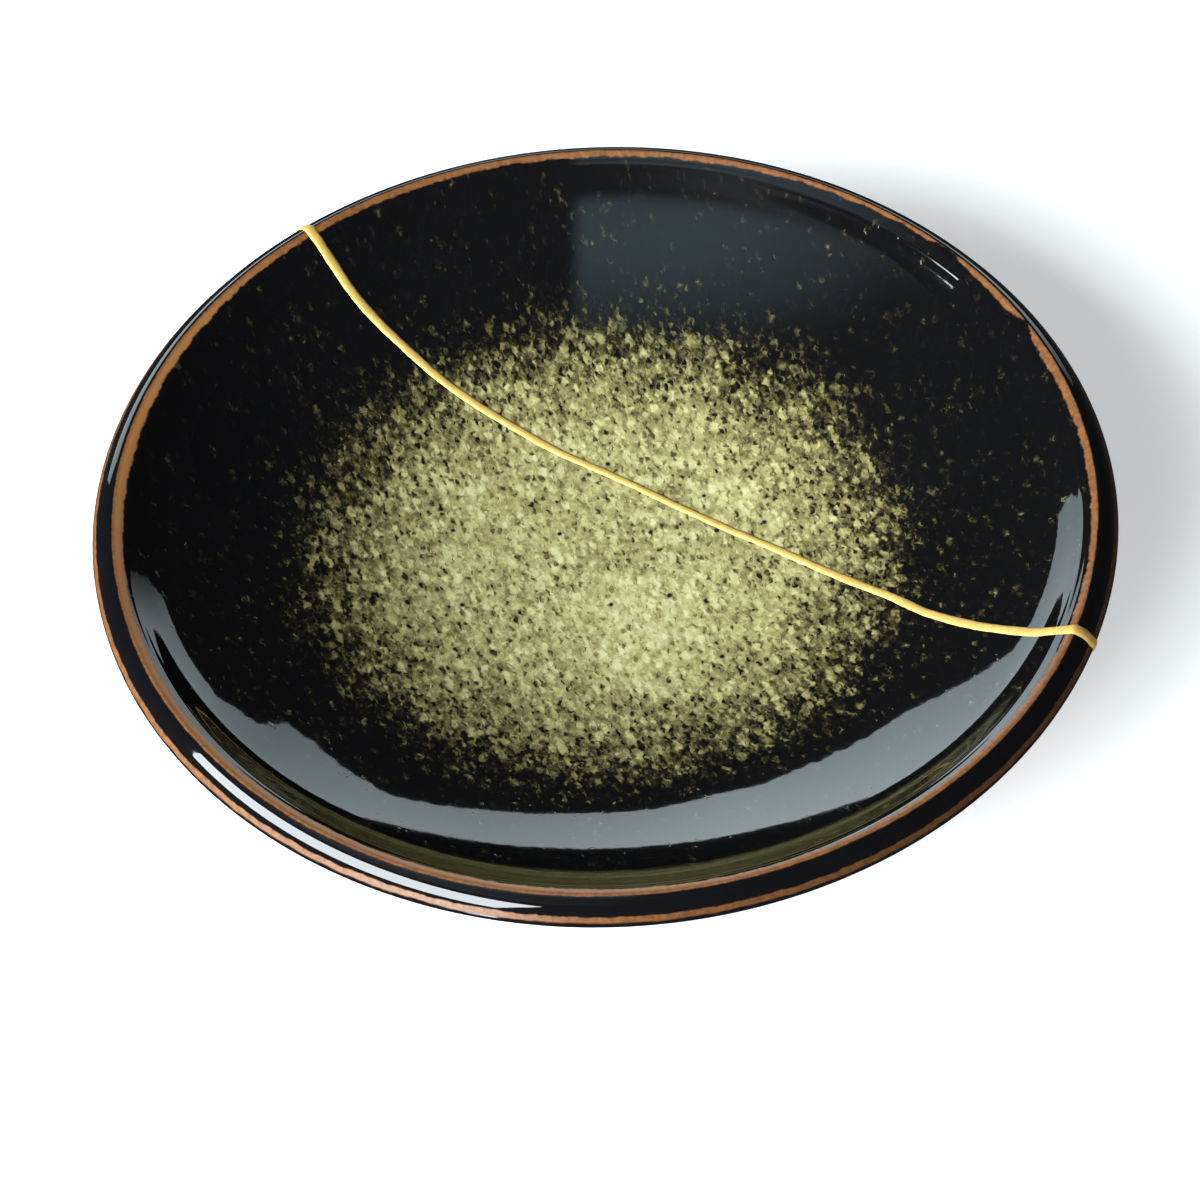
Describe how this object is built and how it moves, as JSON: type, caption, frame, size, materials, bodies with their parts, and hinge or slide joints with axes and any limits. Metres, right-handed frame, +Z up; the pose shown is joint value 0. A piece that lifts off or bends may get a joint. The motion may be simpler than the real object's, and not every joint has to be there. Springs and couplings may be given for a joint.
{
  "type": "kintsugi dish",
  "caption": "Small round black-glazed stoneware dish on a foot ring, with an olive speckled well and a rim-to-rim break mended with a raised gold seam.",
  "frame": {"origin": "centre of the foot ring's resting plane", "axes": "+Z up through the middle of the dish; the break runs from the rim at -X +Y to the rim at +X -Y"},
  "size_m": [0.122, 0.122, 0.0233],
  "materials": {
    "glaze": "glossy black iron glaze with an olive speckled well and rust-brown breaks at the lip",
    "gold": "satin gold powder over lacquer, slightly raised"
  },
  "bodies": {
    "root": {"front_fragment": "glaze", "back_fragment": "glaze", "gold_seam": "gold"}
  },
  "joints": []
}
